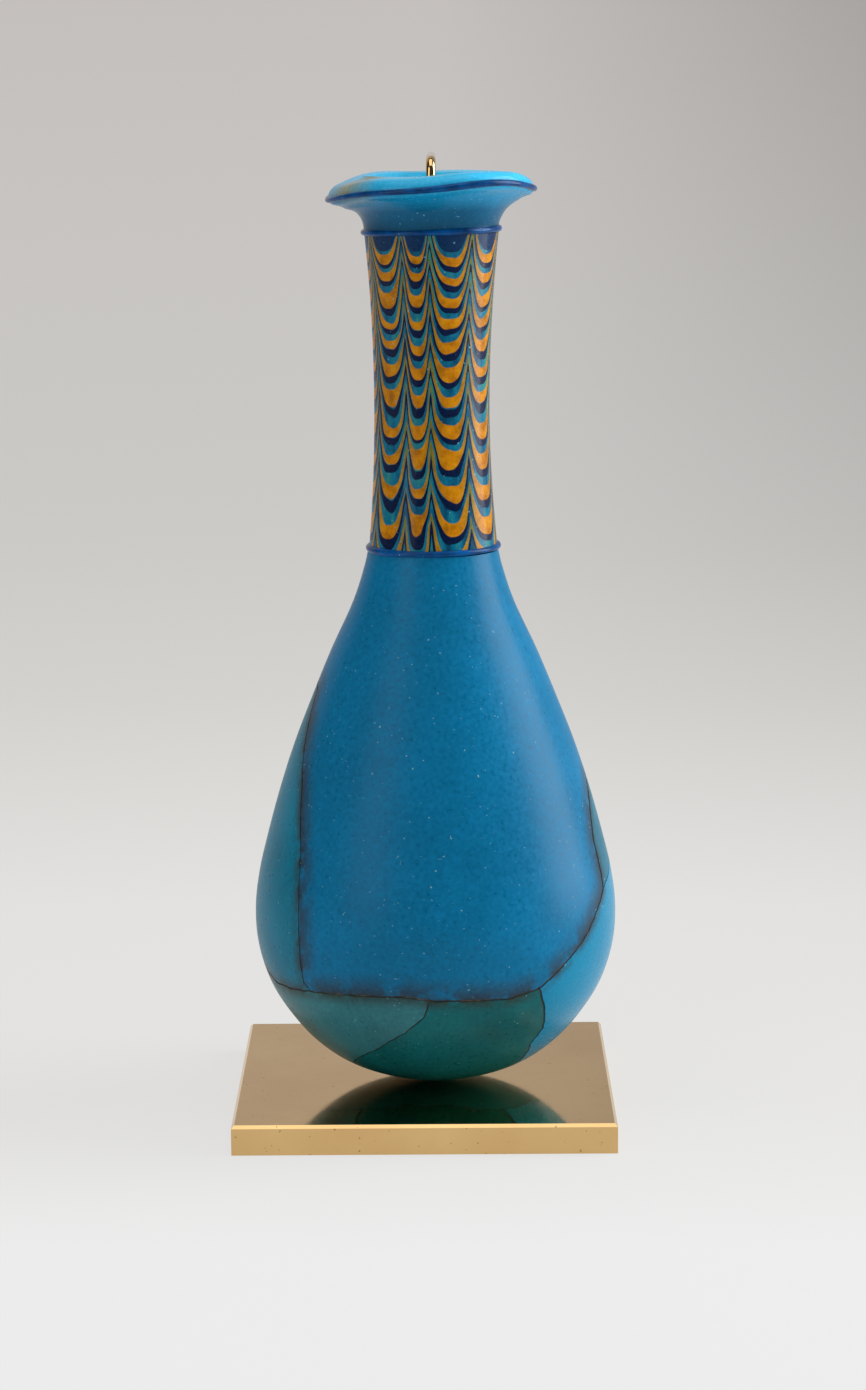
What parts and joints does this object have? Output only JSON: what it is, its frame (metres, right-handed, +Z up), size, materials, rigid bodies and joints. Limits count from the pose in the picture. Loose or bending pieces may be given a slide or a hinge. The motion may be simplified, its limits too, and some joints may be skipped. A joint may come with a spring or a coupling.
{
  "type": "core-formed glass bottle on a display mount",
  "caption": "Round-bodied blue glass bottle with combed neck and flared rim, mended from fragments, held on a square brass plate by a wire hook over its rim.",
  "frame": {"origin": "middle of the base plate underside", "axes": "+Z up along the bottle's axis, -Y towards the front that the picture shows"},
  "size_m": [0.0642, 0.0648, 0.1612],
  "materials": {
    "polished_brass": "polished",
    "turquoise_glass": "semi-gloss, opaque",
    "dark_blue_glass": "gloss, opaque",
    "yellow_glass": "semi-gloss, opaque",
    "restoration_resin": "gloss",
    "joint_filler": "matte"
  },
  "bodies": {
    "mount": {"base_plate": "polished_brass", "post": "polished_brass"},
    "bottle": {"body_main_shard": "turquoise_glass", "left_side_shard": "turquoise_glass", "right_side_shard": "turquoise_glass", "lower_right_fill": "restoration_resin", "lower_front_shard": "turquoise_glass", "lower_left_shard": "turquoise_glass", "lower_back_shard": "turquoise_glass", "joint_fill": "joint_filler", "neck": "turquoise_glass", "yellow_combed_trail": "yellow_glass", "blue_combed_trail": "dark_blue_glass", "rim_edge_thread": "dark_blue_glass", "collar_thread": "dark_blue_glass", "neck_base_thread": "dark_blue_glass", "rim": "turquoise_glass"},
    "hook": {"hook_wire": "polished_brass"}
  },
  "joints": [
    {"name": "bottle_lift", "type": "slide", "parent": "mount", "child": "bottle", "axis": [0, 0, 1], "range_m": [0, 0.03]},
    {"name": "hook_lift", "type": "slide", "parent": "bottle", "child": "hook", "axis": [0, 0, 1], "range_m": [0, 0.036]}
  ]
}
